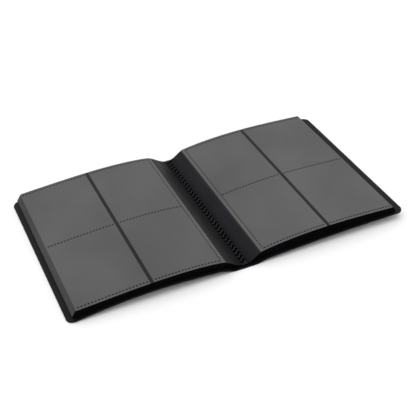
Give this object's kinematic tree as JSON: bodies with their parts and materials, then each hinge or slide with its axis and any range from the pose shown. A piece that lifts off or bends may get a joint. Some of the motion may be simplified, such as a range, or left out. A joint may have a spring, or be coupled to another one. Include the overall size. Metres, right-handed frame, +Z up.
{
  "type": "card album",
  "caption": "Open collector's album: flexible cover, narrow welded spine and two stacks of clear-film pocket leaves that turn and close.",
  "frame": {"origin": "on the table under the middle of the spine, which is the bottom centre of the bounding box", "axes": "+X across the open album towards the back cover, +Y along the spine towards the head, +Z up"},
  "size_m": [0.339, 0.2, 0.0174],
  "materials": {
    "cover": "satin black flexible plastic",
    "backing": "satin black sheet",
    "margin": "satin black sheet",
    "binding": "pressed and welded, semi-gloss",
    "film": "frosted translucent film over black"
  },
  "bodies": {
    "spine": {"spine_panel": "cover", "binding_strip": "binding", "front_crease": "cover", "back_crease": "cover", "front_margins": "margin", "back_margins": "margin"},
    "front_cover": {"front_hinge_strip": "cover", "front_board": "cover"},
    "back_cover": {"back_hinge_strip": "cover", "back_board": "cover"},
    "leaf_01": {"leaf_01_backing": "backing", "leaf_01_films": "film"},
    "leaf_02": {"leaf_02_backing": "backing", "leaf_02_films": "film"},
    "leaf_03": {"leaf_03_backing": "backing", "leaf_03_films": "film"},
    "leaf_04": {"leaf_04_backing": "backing", "leaf_04_films": "film"},
    "leaf_05": {"leaf_05_backing": "backing", "leaf_05_films": "film"},
    "leaf_06": {"leaf_06_backing": "backing", "leaf_06_films": "film"},
    "leaf_07": {"leaf_07_backing": "backing", "leaf_07_films": "film"},
    "leaf_08": {"leaf_08_backing": "backing", "leaf_08_films": "film"},
    "leaf_09": {"leaf_09_backing": "backing", "leaf_09_films": "film", "leaf_09_margin": "margin"},
    "leaf_10": {"leaf_10_backing": "backing", "leaf_10_films": "film", "leaf_10_margin": "margin"},
    "leaf_11": {"leaf_11_backing": "backing", "leaf_11_films": "film", "leaf_11_margin": "margin"},
    "leaf_12": {"leaf_12_backing": "backing", "leaf_12_films": "film", "leaf_12_margin": "margin"},
    "leaf_13": {"leaf_13_backing": "backing", "leaf_13_films": "film"},
    "leaf_14": {"leaf_14_backing": "backing", "leaf_14_films": "film"},
    "leaf_15": {"leaf_15_backing": "backing", "leaf_15_films": "film"},
    "leaf_16": {"leaf_16_backing": "backing", "leaf_16_films": "film"},
    "leaf_17": {"leaf_17_backing": "backing", "leaf_17_films": "film"},
    "leaf_18": {"leaf_18_backing": "backing", "leaf_18_films": "film"},
    "leaf_19": {"leaf_19_backing": "backing", "leaf_19_films": "film"},
    "leaf_20": {"leaf_20_backing": "backing", "leaf_20_films": "film"}
  },
  "joints": [
    {"name": "front_cover_swing", "type": "hinge", "parent": "spine", "child": "front_cover", "pos_m": [-0.01, 0, 0.0006], "axis": [0, 1, 0], "range_deg": [0, 80], "deforming": ["front_crease"]},
    {"name": "back_cover_swing", "type": "hinge", "parent": "spine", "child": "back_cover", "pos_m": [0.01, 0, 0.0006], "axis": [0, -1, 0], "range_deg": [0, 80], "deforming": ["back_crease"]},
    {"name": "leaf_01_swing", "type": "hinge", "parent": "spine", "child": "leaf_01", "pos_m": [-0.006, 0, 0.006], "axis": [0, 1, 0], "range_deg": [0, 80], "deforming": ["front_margins"]},
    {"name": "leaf_02_swing", "type": "hinge", "parent": "spine", "child": "leaf_02", "pos_m": [-0.006, 0, 0.006], "axis": [0, 1, 0], "range_deg": [0, 80]},
    {"name": "leaf_03_swing", "type": "hinge", "parent": "spine", "child": "leaf_03", "pos_m": [-0.006, 0, 0.006], "axis": [0, 1, 0], "range_deg": [0, 80]},
    {"name": "leaf_04_swing", "type": "hinge", "parent": "spine", "child": "leaf_04", "pos_m": [-0.006, 0, 0.006], "axis": [0, 1, 0], "range_deg": [0, 80]},
    {"name": "leaf_05_swing", "type": "hinge", "parent": "spine", "child": "leaf_05", "pos_m": [-0.006, 0, 0.006], "axis": [0, 1, 0], "range_deg": [0, 80]},
    {"name": "leaf_06_swing", "type": "hinge", "parent": "spine", "child": "leaf_06", "pos_m": [-0.006, 0, 0.006], "axis": [0, 1, 0], "range_deg": [0, 80]},
    {"name": "leaf_07_swing", "type": "hinge", "parent": "spine", "child": "leaf_07", "pos_m": [-0.006, 0, 0.006], "axis": [0, 1, 0], "range_deg": [0, 80]},
    {"name": "leaf_08_swing", "type": "hinge", "parent": "spine", "child": "leaf_08", "pos_m": [-0.006, 0, 0.006], "axis": [0, 1, 0], "range_deg": [0, 80]},
    {"name": "leaf_20_swing", "type": "hinge", "parent": "spine", "child": "leaf_20", "pos_m": [0.006, 0, 0.006], "axis": [0, -1, 0], "range_deg": [0, 80], "deforming": ["back_margins"]},
    {"name": "leaf_19_swing", "type": "hinge", "parent": "spine", "child": "leaf_19", "pos_m": [0.006, 0, 0.006], "axis": [0, -1, 0], "range_deg": [0, 80]},
    {"name": "leaf_18_swing", "type": "hinge", "parent": "spine", "child": "leaf_18", "pos_m": [0.006, 0, 0.006], "axis": [0, -1, 0], "range_deg": [0, 80]},
    {"name": "leaf_17_swing", "type": "hinge", "parent": "spine", "child": "leaf_17", "pos_m": [0.006, 0, 0.006], "axis": [0, -1, 0], "range_deg": [0, 80]},
    {"name": "leaf_16_swing", "type": "hinge", "parent": "spine", "child": "leaf_16", "pos_m": [0.006, 0, 0.006], "axis": [0, -1, 0], "range_deg": [0, 80]},
    {"name": "leaf_15_swing", "type": "hinge", "parent": "spine", "child": "leaf_15", "pos_m": [0.006, 0, 0.006], "axis": [0, -1, 0], "range_deg": [0, 80]},
    {"name": "leaf_14_swing", "type": "hinge", "parent": "spine", "child": "leaf_14", "pos_m": [0.006, 0, 0.006], "axis": [0, -1, 0], "range_deg": [0, 80]},
    {"name": "leaf_13_swing", "type": "hinge", "parent": "spine", "child": "leaf_13", "pos_m": [0.006, 0, 0.006], "axis": [0, -1, 0], "range_deg": [0, 80]},
    {"name": "leaf_09_lift", "type": "hinge", "parent": "leaf_08", "child": "leaf_09", "pos_m": [0, 0, 0.0085], "axis": [0, -1, 0], "range_deg": [-5, 0], "deforming": ["leaf_09_margin"]},
    {"name": "leaf_10_turn", "type": "hinge", "parent": "leaf_09", "child": "leaf_10", "pos_m": [0, 0, 0.0085], "axis": [0, -1, 0], "range_deg": [-145, 0], "deforming": ["leaf_10_margin"]},
    {"name": "leaf_12_lift", "type": "hinge", "parent": "leaf_13", "child": "leaf_12", "pos_m": [0, 0, 0.0085], "axis": [0, 1, 0], "range_deg": [-5, 0], "deforming": ["leaf_12_margin"]},
    {"name": "leaf_11_turn", "type": "hinge", "parent": "leaf_12", "child": "leaf_11", "pos_m": [0, 0, 0.0085], "axis": [0, 1, 0], "range_deg": [-145, 0], "deforming": ["leaf_11_margin"]}
  ],
  "couplings": [
    {"joint": "leaf_01_swing", "follows": "front_cover_swing", "ratio": 1},
    {"joint": "leaf_02_swing", "follows": "front_cover_swing", "ratio": 1},
    {"joint": "leaf_03_swing", "follows": "front_cover_swing", "ratio": 1},
    {"joint": "leaf_04_swing", "follows": "front_cover_swing", "ratio": 1},
    {"joint": "leaf_05_swing", "follows": "front_cover_swing", "ratio": 1},
    {"joint": "leaf_06_swing", "follows": "front_cover_swing", "ratio": 1},
    {"joint": "leaf_07_swing", "follows": "front_cover_swing", "ratio": 1},
    {"joint": "leaf_08_swing", "follows": "front_cover_swing", "ratio": 1},
    {"joint": "leaf_20_swing", "follows": "back_cover_swing", "ratio": 1},
    {"joint": "leaf_19_swing", "follows": "back_cover_swing", "ratio": 1},
    {"joint": "leaf_18_swing", "follows": "back_cover_swing", "ratio": 1},
    {"joint": "leaf_17_swing", "follows": "back_cover_swing", "ratio": 1},
    {"joint": "leaf_16_swing", "follows": "back_cover_swing", "ratio": 1},
    {"joint": "leaf_15_swing", "follows": "back_cover_swing", "ratio": 1},
    {"joint": "leaf_14_swing", "follows": "back_cover_swing", "ratio": 1},
    {"joint": "leaf_13_swing", "follows": "back_cover_swing", "ratio": 1}
  ]
}
